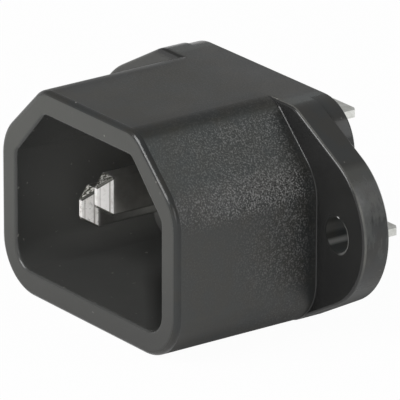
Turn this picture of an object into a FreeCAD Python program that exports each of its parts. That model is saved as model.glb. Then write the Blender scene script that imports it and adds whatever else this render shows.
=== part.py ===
"""C14 panel inlet socket: moulded housing, earth, line and neutral contacts.

Frame: X across the panel, Z up with the earth pin uppermost, and the mouth faces -Y.
The origin is the centre of the flange face that seats against the back of the panel.
"""
import FreeCAD, Part
import math
import os

V = FreeCAD.Vector

# ---- Driving dimensions, in millimetres -------------------------------------------

# Shroud, the tube that passes through the panel
shroud_width = 29.55
shroud_height = 22.4
shroud_length = 16.9
shroud_chamfer_x = 6.85
shroud_chamfer_z = 6.45
shroud_top_corner = 3.2        # radius where the top meets a chamfer
shroud_side_corner = 5.0       # radius where a chamfer meets a side
shroud_bottom_corner = 5.3
shroud_draft = 0.3             # degrees on each side, widening towards the flange
rim_round = 0.6                # outer edge of the mouth
root_flare = 0.08              # bevel round the foot of the shroud, on the flange

# Cavity that receives the connector
cavity_width = 24.5
cavity_height = 17.2
cavity_depth = 16.8
cavity_chamfer_x = 4.95
cavity_chamfer_z = 5.25
cavity_chamfer_corner = 1.0
cavity_bottom_corner = 2.3
cavity_draft = 0.3
lip_round = 0.35               # inner edge of the mouth

# Flange
flange_thickness = 3.2
lobe_radius = 8.45
lobe_offset = 13.95            # centre of each end lobe from the middle
shoulder_slope = 28.5          # degrees that the shoulders fall away from the top
shoulder_round = 3.0
flange_edge_round = 0.3        # edge on the panel side
flange_back_bevel = 0.2        # edge on the terminal side
screw_spacing = 36.0
screw_hole = 3.6
screw_hole_bevel = 0.1

# Back body behind the flange
back_width = 28.7
back_length = 1.95
back_corner = 4.9
back_edge_round = 0.3

# Contacts, pressed and folded from one strip each
pin_width = 2.0
pin_height = 4.0
pin_edge = 0.25
pole_offset = 7.0              # line and neutral, each side of the earth pin
row_spacing = 4.0              # the earth pin sits this far above the other two
earth_setback = 1.1            # earth tip behind the mouth
pole_lag = 3.1                 # line and neutral tips behind the earth tip
tip_width = 0.5
tip_height = 2.2
tip_length = 1.4
tip_edge = 0.12
strip = 0.8                    # thickness of the folded strip
tab_width = 4.5
earth_tab_rise = 5.05         # mid-plane of the earth tab above the axis
pole_tab_drop = 5.4            # mid-planes of the line and neutral tabs below it
tab_reach = 9.8                # tab beyond the back body
tab_corner_x = 1.05
tab_corner_y = 0.65
tab_bevel = 0.3
tab_bevel_land = 0.4
tab_hole = 1.4
tab_hole_from_end = 3.2
fold_radius = 0.4              # inside of the fold between web and tab

# Fits
seat_wall = 2.2                # cavity floor to the face that each web is pressed against
pin_clearance = 0.05           # all round each pin in its bore
pocket_clearance = 0.1         # all round each web and tab in its pocket

# ---- Sizes that follow ------------------------------------------------------------

half_height = shroud_height / 2
mouth_y = -shroud_length
floor_y = mouth_y + cavity_depth
seat_y = floor_y + seat_wall
back_y = flange_thickness + back_length
tab_end_y = back_y + tab_reach
earth_tip_y = mouth_y + earth_setback
pole_tip_y = earth_tip_y + pole_lag
tolerance = 0.001              # for finding edges
flange_reach = lobe_offset + lobe_radius + 1    # clear of the flange's ends


# ---- Outlines ---------------------------------------------------------------------

def rounded_wire(corners, place):
    """Closed wire through (a, b, radius) corners; place(a, b) gives each 3-D point."""
    joints = []
    count = len(corners)
    for i, (a, b, radius) in enumerate(corners):
        before = V(corners[i - 1][0] - a, corners[i - 1][1] - b, 0).normalize()
        after = V(corners[(i + 1) % count][0] - a, corners[(i + 1) % count][1] - b, 0).normalize()
        if radius <= 0:
            joints.append((V(a, b, 0), None, V(a, b, 0)))
            continue
        half_angle = before.getAngle(after) / 2
        tangent = radius / math.tan(half_angle)
        middle = (before + after).normalize() * (radius / math.sin(half_angle) - radius)
        corner = V(a, b, 0)
        joints.append((corner + before * tangent, corner + middle, corner + after * tangent))
    edges = []
    for i, (start, middle, end) in enumerate(joints):
        if middle is not None:
            edges.append(Part.Arc(place(start.x, start.y), place(middle.x, middle.y),
                                  place(end.x, end.y)).toShape())
        following = joints[(i + 1) % count][0]
        if end.distanceToPoint(following) > tolerance:
            edges.append(Part.LineSegment(place(end.x, end.y), place(following.x, following.y)).toShape())
    return Part.Wire(edges)


def across(y):
    """Places an outline in the plane across the depth at y."""
    return lambda x, z: V(x, y, z)


def extrude_y(wire, length):
    return Part.Face(wire).extrude(V(0, length, 0))


def inlet_outline(width, height, chamfer_x, chamfer_z, radii, y, flare=0):
    """The inlet's six-sided outline: flat bottom, upright sides and chamfered top corners.

    A flare moves the sides and chamfers outwards and leaves the top and bottom alone.
    """
    slant = math.hypot(chamfer_x, chamfer_z)
    side, top = width / 2 + flare, height / 2
    chamfer_x, chamfer_z = (chamfer_x + flare - flare * slant / chamfer_z,
                            chamfer_z - flare * (slant - chamfer_z) / chamfer_x)
    top_corner, side_corner, bottom_corner = radii
    right = [(side, -top, bottom_corner), (side, top - chamfer_z, side_corner),
             (side - chamfer_x, top, top_corner)]
    left = [(-x, z, radius) for x, z, radius in reversed(right)]
    return rounded_wire(right + left, across(y))


def flange_outline(y):
    """Flat top and bottom, sloping shoulders and a round lobe at each end."""
    slope = math.radians(shoulder_slope)
    rise = half_height - lobe_radius * math.cos(slope)
    shoulder_x = lobe_offset + lobe_radius * math.sin(slope) - rise / math.tan(slope)
    tip_x = lobe_offset + lobe_radius / math.sin(slope)
    corners = [(tip_x, 0, lobe_radius), (shoulder_x, half_height, shoulder_round),
               (-shoulder_x, half_height, shoulder_round), (-tip_x, 0, lobe_radius),
               (-shoulder_x, -half_height, shoulder_round), (shoulder_x, -half_height, shoulder_round)]
    return rounded_wire(corners, across(y))


def rectangle(width, height, radius, centre_x, centre_z, y):
    a, b = width / 2, height / 2
    corners = [(centre_x + i, centre_z + j, radius) for i, j in ((a, -b), (a, b), (-a, b), (-a, -b))]
    return rounded_wire(corners, across(y))


def edges_at(shape, y, half_x, half_z):
    """Edges that lie in the plane at y, less than half_x and half_z from the axis."""
    found = []
    for edge in shape.Edges:
        box = edge.BoundBox
        flat = abs(box.YMin - y) < tolerance and abs(box.YMax - y) < tolerance
        if flat and max(-box.XMin, box.XMax) < half_x and max(-box.ZMin, box.ZMax) < half_z:
            found.append(edge)
    return found


# ---- Contacts ---------------------------------------------------------------------

def contact(centre_x, side, tab_height, tip_y):
    """One contact; side is 1 with its tab above the axis and -1 with its tab below."""
    row_z = side * row_spacing / 2
    foot_z = row_z - side * pin_height / 2
    outer_z = side * (tab_height + strip / 2)
    inner_z = side * (tab_height - strip / 2)
    shank_y = tip_y + tip_length

    tip = Part.makeLoft([rectangle(tip_width, tip_height, tip_edge, centre_x, row_z, tip_y),
                         rectangle(pin_width, pin_height, pin_edge, centre_x, row_z, shank_y)], True)
    shank = extrude_y(rectangle(pin_width, pin_height, pin_edge, centre_x, row_z, shank_y),
                      seat_y + strip / 2 - shank_y)

    # The strip is folded once: an upright web behind the pin, then the flat tab.
    fold = rounded_wire([(seat_y, foot_z, 0),
                         (seat_y, outer_z, fold_radius + strip),
                         (tab_end_y - tab_bevel, outer_z, 0),
                         (tab_end_y, side * (tab_height + tab_bevel_land / 2), 0),
                         (tab_end_y, side * (tab_height - tab_bevel_land / 2), 0),
                         (tab_end_y - tab_bevel, inner_z, 0),
                         (seat_y + strip, inner_z, fold_radius),
                         (seat_y + strip, foot_z, 0)],
                        lambda y, z: V(centre_x - tab_width / 2, y, z))
    folded = Part.Face(fold).extrude(V(tab_width, 0, 0))

    # Seen from above, the end of the tab has its two corners cut off.
    half = tab_width / 2
    plan = rounded_wire([(-half, seat_y - strip, 0), (half, seat_y - strip, 0),
                         (half, tab_end_y - tab_corner_y, 0), (half - tab_corner_x, tab_end_y, 0),
                         (tab_corner_x - half, tab_end_y, 0), (-half, tab_end_y - tab_corner_y, 0)],
                        lambda x, y: V(centre_x + x, y, -half_height))
    folded = folded.common(Part.Face(plan).extrude(V(0, 0, shroud_height)))

    hole = Part.makeCylinder(tab_hole / 2, shroud_height,
                             V(centre_x, tab_end_y - tab_hole_from_end, -half_height), V(0, 0, 1))
    return folded.fuse([shank, tip]).removeSplitter().cut(hole)


def contact_space(centre_x, side, tab_height):
    """Bore for the pin and pocket for the web and tab, open at the back."""
    row_z = side * row_spacing / 2
    foot_z = row_z - side * (pin_height / 2 + pocket_clearance)
    outer_z = side * (tab_height + strip / 2 + pocket_clearance)
    bore = extrude_y(rectangle(pin_width + 2 * pin_clearance, pin_height + 2 * pin_clearance,
                               pin_edge + pin_clearance, centre_x, row_z, floor_y - seat_wall),
                     2 * seat_wall + strip)
    pocket = extrude_y(rectangle(tab_width + 2 * pocket_clearance, abs(outer_z - foot_z), 0,
                                 centre_x, (outer_z + foot_z) / 2, seat_y),
                       back_y - seat_y + back_length)
    return bore.fuse(pocket)


# ---- Housing ----------------------------------------------------------------------

def shroud_outline(y, flare=0):
    spread = 2 * (y - mouth_y) * math.tan(math.radians(shroud_draft))
    return inlet_outline(shroud_width + spread, shroud_height, shroud_chamfer_x, shroud_chamfer_z,
                         (shroud_top_corner, shroud_side_corner, shroud_bottom_corner), y, flare)


def shroud():
    root_y = flange_thickness / 2
    tube = Part.makeLoft([shroud_outline(mouth_y), shroud_outline(root_y)], True, True)
    tube = tube.makeFillet(rim_round, edges_at(tube, mouth_y, shroud_width, shroud_height))
    foot = Part.makeLoft([shroud_outline(-root_flare), shroud_outline(0, root_flare)], True, True)
    foot_core = Part.makeLoft([shroud_outline(0, root_flare), shroud_outline(root_y, root_flare)],
                              True, True)
    return tube.fuse([foot, foot_core])


def flange():
    solid = extrude_y(flange_outline(0), flange_thickness)
    solid = solid.makeFillet(flange_edge_round, edges_at(solid, 0, flange_reach, shroud_height))
    solid = solid.makeChamfer(flange_back_bevel,
                              edges_at(solid, flange_thickness, flange_reach, shroud_height))
    for x in (-screw_spacing / 2, screw_spacing / 2):
        solid = solid.cut(Part.makeCylinder(screw_hole / 2, flange_thickness, V(x, 0, 0), V(0, 1, 0)))
    rims = [edge for edge in solid.Edges if edge.Curve.TypeId == "Part::GeomCircle"
            and abs(edge.Curve.Radius - screw_hole / 2) < tolerance and edge.Closed]
    return solid.makeChamfer(screw_hole_bevel, rims)


def back_body():
    start_y = flange_thickness / 2
    solid = extrude_y(rectangle(back_width, shroud_height, back_corner, 0, 0, start_y), back_y - start_y)
    return solid.makeFillet(back_edge_round, edges_at(solid, back_y, back_width, shroud_height))


def cavity():
    radii = (cavity_chamfer_corner, cavity_chamfer_corner, cavity_bottom_corner)
    taper = 2 * cavity_depth * math.tan(math.radians(cavity_draft))
    mouth = inlet_outline(cavity_width, cavity_height, cavity_chamfer_x, cavity_chamfer_z, radii, mouth_y)
    floor = inlet_outline(cavity_width - taper, cavity_height - taper, cavity_chamfer_x,
                          cavity_chamfer_z, radii, floor_y)
    return Part.makeLoft([mouth, floor], True, True)


def housing():
    body = shroud().fuse([flange(), back_body()]).removeSplitter()
    body = body.cut(cavity())
    body = body.makeFillet(lip_round, edges_at(body, mouth_y, cavity_width / 2 + tolerance,
                                               cavity_height / 2 + tolerance))
    return body.cut([contact_space(*place) for place in contact_places.values()])


# ---- Assembly ---------------------------------------------------------------------

# Each contact's place across the panel, the side its tab is on, and that tab's height
contact_places = {
    "earth_contact": (0, 1, earth_tab_rise),
    "neutral_contact": (-pole_offset, -1, pole_tab_drop),
    "line_contact": (pole_offset, -1, pole_tab_drop),
}

pieces = {"housing": housing()}
for name, place in contact_places.items():
    pieces[name] = contact(*place, earth_tip_y if name == "earth_contact" else pole_tip_y)

os.makedirs("parts", exist_ok=True)
for name, shape in pieces.items():
    solid = shape.Solids[0] if len(shape.Solids) == 1 else shape
    solid.exportStep("parts/" + name + ".step")
    print(name, "solids", len(shape.Solids), "valid", shape.isValid(), "volume", round(shape.Volume, 1))
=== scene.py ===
import math

import bpy
from mathutils import Matrix, Vector


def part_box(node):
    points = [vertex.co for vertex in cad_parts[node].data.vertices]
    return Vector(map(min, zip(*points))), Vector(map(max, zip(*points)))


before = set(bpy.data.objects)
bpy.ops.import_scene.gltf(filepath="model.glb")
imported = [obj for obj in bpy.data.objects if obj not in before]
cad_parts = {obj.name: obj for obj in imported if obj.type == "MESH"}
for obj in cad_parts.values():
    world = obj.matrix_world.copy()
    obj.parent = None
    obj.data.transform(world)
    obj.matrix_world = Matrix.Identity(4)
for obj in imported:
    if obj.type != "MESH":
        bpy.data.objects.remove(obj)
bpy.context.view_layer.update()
scene = bpy.context.scene
scene.view_settings.view_transform = "Standard"

# ---- Camera ----
# A long lens held level, looking down past the mouth on to the right side and the top.
lens_mm = 586.6
turn = math.radians(53.734)
climb = math.radians(20.269)
roll = math.radians(0.142)
look_at = Vector((0, -0.008, 0))
distance = 0.64188
slide_right, slide_up = 0.003872, -0.000014
near_clip, far_clip = 0.05, 20

back = Vector((math.sin(turn) * math.cos(climb), -math.cos(turn) * math.cos(climb), math.sin(climb)))
level = Vector((math.cos(turn), math.sin(turn), 0))
upright = back.cross(level)
right = math.cos(roll) * level + math.sin(roll) * upright
up = math.cos(roll) * upright - math.sin(roll) * level
camera = bpy.data.objects.new("camera", bpy.data.cameras.new("camera"))
camera.data.lens = lens_mm
camera.data.clip_start = near_clip
camera.data.clip_end = far_clip
camera.matrix_world = Matrix((right, up, back)).transposed().to_4x4()
camera.location = look_at + distance * back + slide_right * right + slide_up * up
scene.collection.objects.link(camera)
scene.camera = camera

# ---- Studio ----
# A white paper floor under the part and a room that is bright low down and dimmer overhead.
# One soft panel stands in front, with a weak one on the camera's side and one behind to the right.
mm = 0.001
white = (1, 1, 1, 1)
paper_white = (0.8, 0.8, 0.8, 1)
paper_width = 6
paper_gap = 0.03 * mm        # keeps the paper clear of the housing's flat underside
paper_glow = 0.97            # how much of the white that the camera sees is the paper's own light
paper_shine = 0.4            # the same in reflections, so that they show the shade near the part
room_low, room_high = 0.95, 0.3
room_fade_height = 0.35

paper_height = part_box("housing")[0].z - paper_gap
bpy.ops.mesh.primitive_plane_add(size=paper_width, location=(0, 0, paper_height))
floor = bpy.context.object
floor.name = "floor"

paper = bpy.data.materials.new("floor_paper")
paper.use_nodes = True
nodes, links = paper.node_tree.nodes, paper.node_tree.links
nodes.clear()
lit_paper = nodes.new("ShaderNodeBsdfDiffuse")
lit_paper.inputs["Color"].default_value = paper_white
glowing_paper = nodes.new("ShaderNodeEmission")
glowing_paper.inputs["Color"].default_value = white
ray = nodes.new("ShaderNodeLightPath")
seen_share = nodes.new("ShaderNodeMath")
seen_share.operation = "MULTIPLY"
seen_share.inputs[1].default_value = paper_glow
links.new(ray.outputs["Is Camera Ray"], seen_share.inputs[0])
glow_share = nodes.new("ShaderNodeMath")
glow_share.operation = "MULTIPLY_ADD"
glow_share.inputs[1].default_value = paper_shine
links.new(ray.outputs["Is Glossy Ray"], glow_share.inputs[0])
links.new(seen_share.outputs["Value"], glow_share.inputs[2])
sheet = nodes.new("ShaderNodeMixShader")
links.new(glow_share.outputs["Value"], sheet.inputs["Fac"])
links.new(lit_paper.outputs["BSDF"], sheet.inputs[1])
links.new(glowing_paper.outputs["Emission"], sheet.inputs[2])
output = nodes.new("ShaderNodeOutputMaterial")
links.new(sheet.outputs["Shader"], output.inputs["Surface"])
floor.data.materials.append(paper)

world = bpy.data.worlds.new("studio")
scene.world = world
world.use_nodes = True
nodes, links = world.node_tree.nodes, world.node_tree.links
nodes.clear()
direction = nodes.new("ShaderNodeTexCoord")
height = nodes.new("ShaderNodeSeparateXYZ")
links.new(direction.outputs["Generated"], height.inputs["Vector"])
fade = nodes.new("ShaderNodeMapRange")
fade.inputs["From Min"].default_value = 0
fade.inputs["From Max"].default_value = room_fade_height
fade.inputs["To Min"].default_value = room_low
fade.inputs["To Max"].default_value = room_high
links.new(height.outputs["Z"], fade.inputs["Value"])
room = nodes.new("ShaderNodeBackground")
room.inputs["Color"].default_value = white
links.new(fade.outputs["Result"], room.inputs["Strength"])
backdrop = nodes.new("ShaderNodeBackground")
backdrop.inputs["Color"].default_value = white
ray = nodes.new("ShaderNodeLightPath")
surround = nodes.new("ShaderNodeMixShader")
links.new(ray.outputs["Is Camera Ray"], surround.inputs["Fac"])
links.new(room.outputs["Background"], surround.inputs[1])
links.new(backdrop.outputs["Background"], surround.inputs[2])
output = nodes.new("ShaderNodeOutputWorld")
links.new(surround.outputs["Shader"], output.inputs["Surface"])


def light_panel(name, azimuth, elevation, reach, size, power):
    """A square soft light, placed round the part as a camera would be, and aimed at it."""
    a, e = math.radians(azimuth), math.radians(elevation)
    towards = Vector((math.sin(a) * math.cos(e), -math.cos(a) * math.cos(e), math.sin(e)))
    lamp = bpy.data.objects.new(name, bpy.data.lights.new(name, "AREA"))
    lamp.data.shape = "SQUARE"
    lamp.data.size = size
    lamp.data.energy = power
    lamp.location = towards * reach
    lamp.rotation_euler = towards.to_track_quat("Z", "Y").to_euler()
    scene.collection.objects.link(lamp)


light_panel("front_panel", azimuth=-8, elevation=36, reach=0.6, size=0.34, power=2.6)
light_panel("camera_side_fill", azimuth=56, elevation=22, reach=0.8, size=0.3, power=0.6)
light_panel("right_rear_panel", azimuth=130, elevation=30, reach=0.6, size=0.34, power=0.5)

# ---- Housing ----
# One moulding in black thermoplastic: the shroud, the screw flange and the back body.
# Its tool was spark eroded round the shroud, and smooth at the mouth and on the flange.
# Many colours below stand in for light and shade: painted light on the chamfers, rim, cavity and left
# holes; painted shade on the top, foot, low edges, panel face, mouth round, bores, rim, cavity floor
# and a notch.
# shoulder; painted highlights and reflections on the brow, flange ends, front edge, lower lobes and
# screw
shroud_black = (0.045, 0.045, 0.043, 1)
slope_painted_light = (0.056, 0.061, 0.06, 1)
brow_black = (0.043, 0.043, 0.042, 1)
painted_highlight_grey = (0.09, 0.09, 0.088, 1)
painted_shade_black = (0.003, 0.003, 0.003, 1)
top_painted_shade = (0.019, 0.019, 0.0165, 1)
back_painted_shade = (0.037, 0.037, 0.036, 1)
corner_painted_shade = (0.009, 0.009, 0.009, 1)
foot_painted_shade = (0.016, 0.016, 0.016, 1)
flange_black = (0.033, 0.033, 0.033, 1)
end_painted_highlight = (0.074, 0.075, 0.072, 1)
face_painted_shade = (0.017, 0.017, 0.017, 1)
low_face_painted_reflection = (0.024, 0.024, 0.024, 1)
shoulder_painted_light = (0.045, 0.045, 0.041, 1)
bore_and_notch_painted_shade = (0.008, 0.008, 0.008, 1)
bore_painted_highlight = (0.16, 0.16, 0.155, 1)
scuff_grey = (0.075, 0.078, 0.074, 1)
edge_painted_highlight = (0.22, 0.218, 0.2, 1)
hole_lip_painted_highlight = (0.11, 0.11, 0.107, 1)
glint_painted_highlight = (0.6, 0.6, 0.59, 1)
olive_bloom = (0.047, 0.046, 0.034, 1)
teal_bloom = (0.036, 0.046, 0.046, 1)
rim_painted_light = (0.062, 0.063, 0.057, 1)
rim_painted_shade = (0.036, 0.036, 0.034, 1)
cavity_painted_light = (0.055, 0.056, 0.054, 1)
deep_painted_light = (0.2, 0.2, 0.19, 1)
cloud_grey = (0.05, 0.052, 0.045, 1)
pit_black = (0.003, 0.003, 0.003, 1)
peak_grey = (0.27, 0.27, 0.265, 1)
dust_grey = (0.4, 0.39, 0.36, 1)


def new_finish(name):
    """A material, with its nodes, its links and its shader. The functions below add to those nodes."""
    material = bpy.data.materials.new(name)
    material.use_nodes = True
    tree = material.node_tree
    return material, tree.nodes, tree.links, tree.nodes["Principled BSDF"]


def combine(operation, *values):
    """A Math node on sockets and plain numbers."""
    node = nodes.new("ShaderNodeMath")
    node.operation = operation
    for socket, value in zip(node.inputs, values):
        if isinstance(value, (int, float)):
            socket.default_value = value
        else:
            links.new(value, socket)
    return node.outputs["Value"]


def times(first, *others):
    """The values multiplied together: for masks, where all of them are."""
    for other in others:
        first = combine("MULTIPLY", first, other)
    return first


def most(first, *others):
    """The largest of the values: for masks, where any of them is."""
    for other in others:
        first = combine("MAXIMUM", first, other)
    return first


def plus(first, second):
    return combine("ADD", first, second)


def minus(first, second):
    return combine("SUBTRACT", first, second)


def outside(mask):
    return combine("SUBTRACT", 1, mask)


def ramp(source, low, high, start=0.0, end=1.0):
    """Goes from start to end as the source goes from low to high, which may be the smaller number."""
    node = nodes.new("ShaderNodeMapRange")
    node.inputs["From Min"].default_value = low
    node.inputs["From Max"].default_value = high
    node.inputs["To Min"].default_value = start
    node.inputs["To Max"].default_value = end
    links.new(source, node.inputs["Value"])
    return node.outputs["Result"]


def band(source, start, full, fade_from, end):
    """A stripe that comes in between the first two values and goes out between the last two."""
    return times(ramp(source, start, full), ramp(source, end, fade_from))


def blended(factor, first, second):
    """A colour between two others."""
    node = nodes.new("ShaderNodeMix")
    node.data_type = "RGBA"
    links.new(factor, node.inputs["Factor"])
    for socket, value in ((node.inputs["A"], first), (node.inputs["B"], second)):
        if isinstance(value, tuple):
            socket.default_value = value
        else:
            links.new(value, socket)
    return node.outputs["Result"]


def place_in_mm():
    """Where a point lies on the piece, as X, Y and Z in millimetres."""
    piece = nodes.new("ShaderNodeTexCoord")
    larger = nodes.new("ShaderNodeVectorMath")
    larger.operation = "SCALE"
    larger.inputs["Scale"].default_value = 1 / mm
    links.new(piece.outputs["Object"], larger.inputs["Vector"])
    axes = nodes.new("ShaderNodeSeparateXYZ")
    links.new(larger.outputs["Vector"], axes.inputs["Vector"])
    return axes.outputs["X"], axes.outputs["Y"], axes.outputs["Z"]


def noise(size, detail, squeeze=(1, 1, 1)):
    """Noise with features of that size in millimetres, longer along an axis with a small squeeze."""
    piece = nodes.new("ShaderNodeTexCoord")
    place = nodes.new("ShaderNodeMapping")
    place.inputs["Scale"].default_value = squeeze
    links.new(piece.outputs["Object"], place.inputs["Vector"])
    node = nodes.new("ShaderNodeTexNoise")
    node.inputs["Scale"].default_value = 1 / (size * mm)
    node.inputs["Detail"].default_value = detail
    links.new(place.outputs["Vector"], node.inputs["Vector"])
    return node.outputs["Fac"]


def from_point(sideways, side, height):
    """Distance from a line along Y, through a place given in X and Z."""
    along_x = combine("POWER", minus(sideways, side), 2)
    along_z = combine("POWER", minus(z, height), 2)
    return combine("SQRT", plus(along_x, along_z))


moulding, nodes, links, plastic = new_finish("moulded_black")
x, y, z = place_in_mm()
across = combine("ABSOLUTE", x)
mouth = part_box("housing")[0].y / mm
top_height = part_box("housing")[1].z / mm

# The areas of the moulding. Places are in millimetres, from where an area starts to where it is
# full. The panel face is at Y 0, and the slant is how far out a point lies square to the chamfers.
chamfer_across, chamfer_up = 0.7276, 0.686
cavity_side, cavity_height, cavity_slant = 12.9, 9.4, 12.4
cavity_back = 0.1, 0
rim_depth = mouth + 0.04, mouth + 0.01
lip_depth = mouth + 0.4, mouth + 0.3
mouth_round_depth = mouth + 0.7, mouth + 0.6
top_start = 10, 10.6
slope_start = 13.1, 13.5
flange_front = -0.2, -0.12
flush_gap = 0.01
panel_face_depth = 0.25, 0.08
round_end_start = 17.2, 18.2
screw_side = 18
hole_wall_radius, hole_edge_radius = 1.86, 1.95
hole_wall_start = 0.12, 0.2
cavity_smoothness = 0.85

slant = plus(times(across, chamfer_across), times(z, chamfer_up))
outwards = most(combine("DIVIDE", across, cavity_side),
                combine("DIVIDE", combine("ABSOLUTE", z), cavity_height),
                combine("DIVIDE", slant, cavity_slant))
enclosed = combine("LESS_THAN", outwards, 1)
on_rim = ramp(y, *rim_depth)
in_cavity = times(enclosed, ramp(y, *cavity_back), outside(on_rim))
on_lip = times(in_cavity, ramp(y, *lip_depth))
on_mouth_round = times(ramp(y, *mouth_round_depth), outside(on_rim), outside(enclosed))
on_top = ramp(z, *top_start)
on_slope = ramp(slant, *slope_start)
flush_top = combine("GREATER_THAN", z, top_height - flush_gap)
on_flange = times(ramp(y, *flange_front), outside(flush_top), outside(in_cavity))
on_panel_face = times(on_flange, ramp(y, *panel_face_depth))
on_flange_side = minus(on_flange, on_panel_face)
from_screw = from_point(across, screw_side, 0)
in_screw_hole = times(on_flange, combine("LESS_THAN", from_screw, hole_wall_radius))
hole_edge = times(on_flange, combine("LESS_THAN", from_screw, hole_edge_radius))
on_hole_wall = times(in_screw_hole, ramp(y, *hole_wall_start))
on_round_end = times(on_flange_side, ramp(across, *round_end_start), outside(hole_edge))
smooth = most(on_flange, on_rim, on_mouth_round, times(in_cavity, cavity_smoothness))
textured = outside(smooth)

# The shroud: painted light on the chamfers and on the top beyond its corners; a painted highlight along
# the lower corner of each chamfer, fading towards the mouth; painted shade on a foot by the flange that
# leans back as it rises, on the lower edge, on the top, less towards the back, and in a line along each
# corner of the top.
brow_height = 2.6, 4.4, 5.2, 6.8
brow_length = -15, -11
foot_creep_length, foot_creep_strength = (-6, -0.9), 0.6
foot_creep_height = -7, -4, 2.5, 4.5
foot_crease_length = -2.9, -0.9
foot_lean_from, foot_lean_slope = 4.5, 0.12
lower_edge_height = -6.6, -9.3
top_fade_length = -3, 3
top_corner_side = 5, 6.1, 7.8, 8.3
top_corner_end = 0.5, -1.2
past_corner_side = 8.4, 8.9

brow = band(z, *brow_height)
brow_highlight = blended(ramp(y, *brow_length), brow_black, painted_highlight_grey)
foot_creep = times(ramp(y, *foot_creep_length, 0, foot_creep_strength), band(z, *foot_creep_height))
foot_lean = times(most(minus(z, foot_lean_from), 0), foot_lean_slope)
foot_crease = times(ramp(minus(y, foot_lean), *foot_crease_length), outside(on_top))
foot_shade = outside(times(outside(foot_creep), outside(foot_crease)))
lower_edge = ramp(z, *lower_edge_height)
painted_top_gradient = blended(ramp(y, *top_fade_length), top_painted_shade, back_painted_shade)
top_corner_shade = times(on_top, band(across, *top_corner_side), ramp(y, *top_corner_end))
past_corner = times(on_top, ramp(across, *past_corner_side))

# The round ends of the flange carry a painted highlight in one stripe and, in another, a painted
# highlight that turns to painted shade further back, and are scuffed in a third. Its panel face is
# polished and painted darker for the shade the shroud casts on it, with a painted reflection on its
# lower outer lobes and painted light on its left shoulder. Painted shade darkens the flange low down,
# and a painted shadow lies in a notch at its top left.
end_highlight_height = 5.2, 6.2, 6.7, 7.2
lower_end_height = 1.5, 2.5, 4.6, 5.4
lower_end_highlight_depth = 0.8, 1.2
scuff_height = -2.5, 0, 4.5, 7
scuff_size, scuff_squeeze, scuff_range = 0.6, (1, 1, 0.25), (0.42, 0.62)
low_flange_height = -3.5, -7
low_face_height, low_face_side = (3, -3), (18.5, 16)
left_shoulder_side, left_shoulder_height = (-6, -10), (1.5, 5)
left_notch_depth, left_notch_side, left_notch_height = (-0.1, 0, 0.3, 0.6), (-6.6, -7.4), (10.2, 10.7)

end_highlight_stripe = times(on_round_end, band(z, *end_highlight_height))
lower_end_stripe = times(on_round_end, band(z, *lower_end_height))
lower_end_light_and_shade = blended(ramp(y, *lower_end_highlight_depth), end_painted_highlight, painted_shade_black)
scuff_patches = ramp(noise(scuff_size, detail=3, squeeze=scuff_squeeze), *scuff_range)
scuffs = times(on_round_end, band(z, *scuff_height), scuff_patches)
low_flange = times(on_flange, ramp(z, *low_flange_height))
low_lobe_reflection = times(ramp(z, *low_face_height), ramp(across, *low_face_side))
face_shade_and_reflection = blended(low_lobe_reflection, face_painted_shade, low_face_painted_reflection)
left_shoulder_light = times(on_panel_face, ramp(x, *left_shoulder_side), ramp(z, *left_shoulder_height))
left_notch_shadow = times(band(y, *left_notch_depth), ramp(x, *left_notch_side), ramp(z, *left_notch_height))

# The front edge of the flange carries a painted highlight, patchy and in a thinner line further up.
# Each screw hole is painted dark for shade in its bore and on its edge, with painted highlight lines on
# its wall and a painted highlight along the outer side of its edge, and the right one has a painted
# glint at the top of its edge.
edge_start, edge_fade, edge_thinning = (0.1, 0.2), (0.45, 0.3), 0.15
thinning_height = 2, 6
edge_highlight_size, edge_highlight_range, least_edge_highlight = 3, (0.35, 0.6), 0.5
edge_highlight_height, least_low_edge_highlight = (-5, 1), 0.15
lower_line_height = -1.45, -1.25, -1.1, -0.85
upper_line_height, upper_line_strength = (-0.5, -0.1, 0.4, 1.1), 0.35
hole_lip_radius, hole_lip_side, hole_lip_height = (2.05, 1.98), (18.2, 18.9), (1.7, 1.3)
glint_side, glint_height, glint_radius, glint_depth = 18.27, 1.76, (0.26, 0.18), (0.2, 0.1)

thinned = plus(y, ramp(z, *thinning_height, 0, edge_thinning))
front_edge = times(on_flange, outside(in_screw_hole), ramp(y, *edge_start), ramp(thinned, *edge_fade))
front_edge_highlight = times(front_edge, ramp(noise(edge_highlight_size, detail=2), *edge_highlight_range, least_edge_highlight, 1),
                  ramp(z, *edge_highlight_height, least_low_edge_highlight, 1))
highlight_lines = most(band(z, *lower_line_height), times(band(z, *upper_line_height), upper_line_strength))
bore_highlight_lines = times(on_hole_wall, highlight_lines)
hole_lip_highlight = times(on_panel_face, ramp(from_screw, *hole_lip_radius), ramp(across, *hole_lip_side),
                 ramp(z, *hole_lip_height))
hole_glint = times(on_flange, ramp(y, *glint_depth), ramp(from_point(x, glint_side, glint_height), *glint_radius))

# The mouth: painted shade on its outer round; painted light and shade on the rim, which darkens to the
# lower right; painted light in the cavity, paler towards its back and above its floor; and a painted
# shadow on the floor towards the right wall.
rim_lean, rim_fall_length = 0.27, (-3.8, 12.5)
paler_length, paler_height, floor_paleness = (-16.5, -3), (-8.5, -6.8), 0.08
shade_turn_x, shade_turn_y, shade_reach = 0.561, 0.828, (-8.5, -6.4)
shade_height, shade_length, least_shade = (-7.8, -8.4), (-3, -8.5), 0.1

rim_fall = minus(times(x, rim_lean), combine("MINIMUM", z, 0))
rim_light_and_shade = blended(ramp(rim_fall, *rim_fall_length), rim_painted_light, rim_painted_shade)
cavity_back_light = times(ramp(y, *paler_length), ramp(z, *paler_height, floor_paleness, 1))
towards_right = plus(times(x, shade_turn_x), times(y, shade_turn_y))
floor_painted_shadow = times(ramp(towards_right, *shade_reach), ramp(z, *shade_height),
                    ramp(y, *shade_length, least_shade, 1))
cavity_light_and_shade = blended(floor_painted_shadow, blended(cavity_back_light, cavity_painted_light, deep_painted_light), painted_shade_black)

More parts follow.
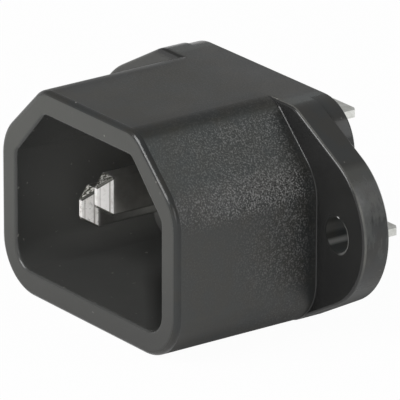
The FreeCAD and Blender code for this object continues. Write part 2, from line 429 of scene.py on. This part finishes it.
# The eroded grain bites deepest along the brow and near the flange, and least on the top.
# Over all of it lie a cloudy sheen, two faint blooms and some dust on the smooth faces.
grain_size, grain_depth = 0.17, 0.14 * mm
upper_bite_height, upper_bite_length, front_bite = (2, 3.6), (-15.5, -7.5), 0.35
slope_height, slope_bite = (5.2, 6.6), 0.48
lower_bite_length, lower_bite_range = (-10.5, -3.5), (0.07, 0.5)
lower_bite_height, lowest_bite = (-6.5, -3.5), 0.3
top_bite, foot_bite, smooth_relief = 0.22, 0.3, 0.06
pit_range, peak_range = (0.49, 0.33), (0.51, 0.65)
cloud_size, cloud_range, cloud_strength = 6, (0.3, 0.7), 0.15
bloom_size, bloom_range, bloom_strength = 2.5, (0.42, 0.58), 0.2
dust_size, dust_range, dust_strength = 0.7, (0.76, 0.8), 0.5

grain = noise(grain_size, detail=3)
upper_bite = times(ramp(z, *upper_bite_height), ramp(z, *slope_height, 1, slope_bite),
                   ramp(y, *upper_bite_length, front_bite, 1))
lower_bite = times(ramp(y, *lower_bite_length, *lower_bite_range),
                   ramp(z, *lower_bite_height, lowest_bite, 1))
bite = times(most(upper_bite, lower_bite), textured, ramp(on_top, 0, 1, 1, top_bite),
             ramp(foot_crease, 0.5, 1, 1, foot_bite))
pits = times(bite, ramp(grain, *pit_range))
peaks = times(bite, ramp(grain, *peak_range))
cloud = noise(cloud_size, detail=2)
clouded = ramp(cloud, *cloud_range, 0, cloud_strength)
bloom = times(outside(most(in_cavity, on_panel_face)), bloom_strength)
bloom_shade = blended(ramp(noise(bloom_size, detail=1), *bloom_range), olive_bloom, teal_bloom)
dust = times(smooth, ramp(noise(dust_size, detail=1), *dust_range, 0, dust_strength))

coats = (
    (on_slope, slope_painted_light),
    (brow, brow_highlight),
    (lower_edge, painted_shade_black),
    (on_top, painted_top_gradient),
    (top_corner_shade, corner_painted_shade),
    (past_corner, slope_painted_light),
    (foot_shade, foot_painted_shade),
    (on_flange, flange_black),
    (end_highlight_stripe, end_painted_highlight),
    (lower_end_stripe, lower_end_light_and_shade),
    (low_flange, painted_shade_black),
    (most(on_panel_face, on_mouth_round), face_shade_and_reflection),
    (most(on_hole_wall, hole_edge), bore_and_notch_painted_shade),
    (bore_highlight_lines, bore_painted_highlight),
    (scuffs, scuff_grey),
    (left_shoulder_light, shoulder_painted_light),
    (front_edge_highlight, edge_painted_highlight),
    (hole_lip_highlight, hole_lip_painted_highlight),
    (hole_glint, glint_painted_highlight),
    (left_notch_shadow, bore_and_notch_painted_shade),
    (bloom, bloom_shade),
    (on_rim, rim_light_and_shade),
    (in_cavity, cavity_light_and_shade),
    (clouded, cloud_grey),
    (pits, pit_black),
    (peaks, peak_grey),
    (dust, dust_grey),
)
tint = shroud_black
for mask, colour in coats:
    tint = blended(mask, tint, colour)
links.new(tint, plastic.inputs["Base Color"])

# Polish: the smooth faces shine, apart from the rim, the cavity behind its lip and the screw holes.
# The shroud and the flange are duller low down, and so is the fillet between them.
smooth_roughness, grained_roughness, cloud_roughness = 0.2, 0.42, 0.03
dull_shroud_height = -8, -10.3
dull_flange_height = -4.5, -7.5
fillet_depth = -0.6, -0.3, -0.1, -0.02

duller = (
    (most(on_rim, minus(in_cavity, on_lip)), 0.22),
    (scuffs, 0.2),
    (hole_edge, 0.8),
    (times(textured, ramp(z, *dull_shroud_height)), 0.35),
    (times(on_flange_side, ramp(z, *dull_flange_height)), 0.5),
    (times(band(y, *fillet_depth), outside(on_top)), 0.25),
)
roughness = plus(ramp(textured, 0, 1, smooth_roughness, grained_roughness),
                 ramp(cloud, *cloud_range, -cloud_roughness, cloud_roughness))
for mask, extra in duller:
    roughness = plus(roughness, times(mask, extra))
links.new(roughness, plastic.inputs["Roughness"])

relief = nodes.new("ShaderNodeBump")
relief.inputs["Distance"].default_value = grain_depth
links.new(ramp(bite, 0, 1, smooth_relief, 1), relief.inputs["Strength"])
links.new(grain, relief.inputs["Height"])
links.new(relief.outputs["Normal"], plastic.inputs["Normal"])
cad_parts["housing"].data.materials[0] = moulding

# ---- Contacts ----
# Earth, line and neutral are each pressed from one brass strip, folded behind the pin
# and plated with bright nickel. The press leaves fine drawn lines along the strip.
strip_bright, strip_dull = (0.7, 0.69, 0.67, 1), (0.62, 0.61, 0.59, 1)
tab_bright, tab_dull = (0.93, 0.94, 0.9, 1), (0.74, 0.75, 0.7, 1)
tip_bright, tip_dull = (0.99, 0.975, 0.955, 1), (0.8, 0.78, 0.75, 1)
torn_bright, torn_dark = (0.8, 0.79, 0.75, 1), (0.1, 0.1, 0.08, 1)
tip_mark = (0.35, 0.34, 0.32, 1)
tip_crease = (0.48, 0.46, 0.44, 1)
arris_dark = (0.1, 0.1, 0.09, 1)
column_side, row_gap = 7, 4
tip_length, tab_start = (1.8, 1.4), (3, 5)
tip_half_width, tip_half_height = 0.25, 1.1
side_taper, end_taper = 0.536, 0.643
torn_face_start = 0.12, 0.05
arris_start, arris_end = (0.25, 0.2), (0.02, 0.05)
inner_crease_place = 0.98, 1.04, 1.11, 1.17
outer_crease_place, outer_crease_strength = (0.16, 0.2, 0.26, 0.32), 0.5
drawn_size, torn_size, spot_size = 0.4, 0.3, 0.7
drawn_squeeze = 1, 0.12, 0.35
stain_range, dull_tip_range = (0.35, 0.7), (0.5, 0.75)
tip_mark_range, pole_marks, earth_marks = (0.42, 0.34), 0.4, 0.12
tear_range = 0.44, 0.58
drawn_range, drawn_roughness = (0.3, 0.7), (0.27, 0.37)
pole_tip_roughness, earth_tip_roughness = 0.4, 0.15
drawn_depth, drawn_strength = 0.02 * mm, 0.2

nickel, nodes, links, plate = new_finish("nickel_plate")
plate.inputs["Metallic"].default_value = 1
x, y, z = place_in_mm()
across = combine("ABSOLUTE", x)

# The earth pin is the upper one, in the middle, and it reaches further out than the other two.
pole_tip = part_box("neutral_contact")[0].y / mm
earth_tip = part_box("earth_contact")[0].y / mm
is_earth = combine("GREATER_THAN", z, 0)
from_tip = minus(y, ramp(is_earth, 0, 1, pole_tip, earth_tip))
beside = combine("ABSOLUTE", minus(across, times(outside(is_earth), column_side)))
above = combine("ABSOLUTE", minus(z, times(minus(is_earth, 0.5), row_gap)))
on_tip = ramp(from_tip, *tip_length)
on_tab = ramp(y, *tab_start)

# Each tip tapers on four faces. The press leaves the upper and lower ones torn, the arris between
# two faces dark, and two creases across the tip.
within_side = minus(plus(times(from_tip, side_taper), tip_half_width), beside)
within_end = minus(plus(times(from_tip, end_taper), tip_half_height), above)
on_torn_face = times(on_tip, ramp(within_end, *torn_face_start))
on_arris = times(on_tip, ramp(within_end, *arris_start), ramp(within_side, *arris_start),
                 ramp(most(within_end, within_side), *arris_end))
creases = most(band(from_tip, *inner_crease_place),
               times(band(from_tip, *outer_crease_place), outer_crease_strength))

drawn = noise(drawn_size, detail=3, squeeze=drawn_squeeze)
torn = noise(torn_size, detail=3)
spots = noise(spot_size, detail=2)
stains = ramp(spots, *stain_range)
strip_shade = blended(on_tab, blended(stains, strip_bright, strip_dull),
                      blended(stains, tab_bright, tab_dull))
tip_marks = times(ramp(torn, *tip_mark_range), ramp(is_earth, 0, 1, pole_marks, earth_marks))
tip_shade = blended(ramp(spots, *dull_tip_range), tip_bright, tip_dull)
tip_coats = (
    (tip_marks, tip_mark),
    (creases, tip_crease),
    (on_torn_face, blended(ramp(torn, *tear_range), torn_dark, torn_bright)),
    (on_arris, arris_dark),
)
for mask, colour in tip_coats:
    tip_shade = blended(mask, tip_shade, colour)
links.new(blended(on_tip, strip_shade, tip_shade), plate.inputs["Base Color"])

tip_roughness = times(on_tip, ramp(is_earth, 0, 1, pole_tip_roughness, earth_tip_roughness))
links.new(plus(ramp(drawn, *drawn_range, *drawn_roughness), tip_roughness), plate.inputs["Roughness"])

drawn_lines = nodes.new("ShaderNodeBump")
drawn_lines.inputs["Distance"].default_value = drawn_depth
drawn_lines.inputs["Strength"].default_value = drawn_strength
links.new(drawn, drawn_lines.inputs["Height"])
links.new(drawn_lines.outputs["Normal"], plate.inputs["Normal"])
for name in ("earth_contact", "neutral_contact", "line_contact"):
    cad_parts[name].data.materials[0] = nickel
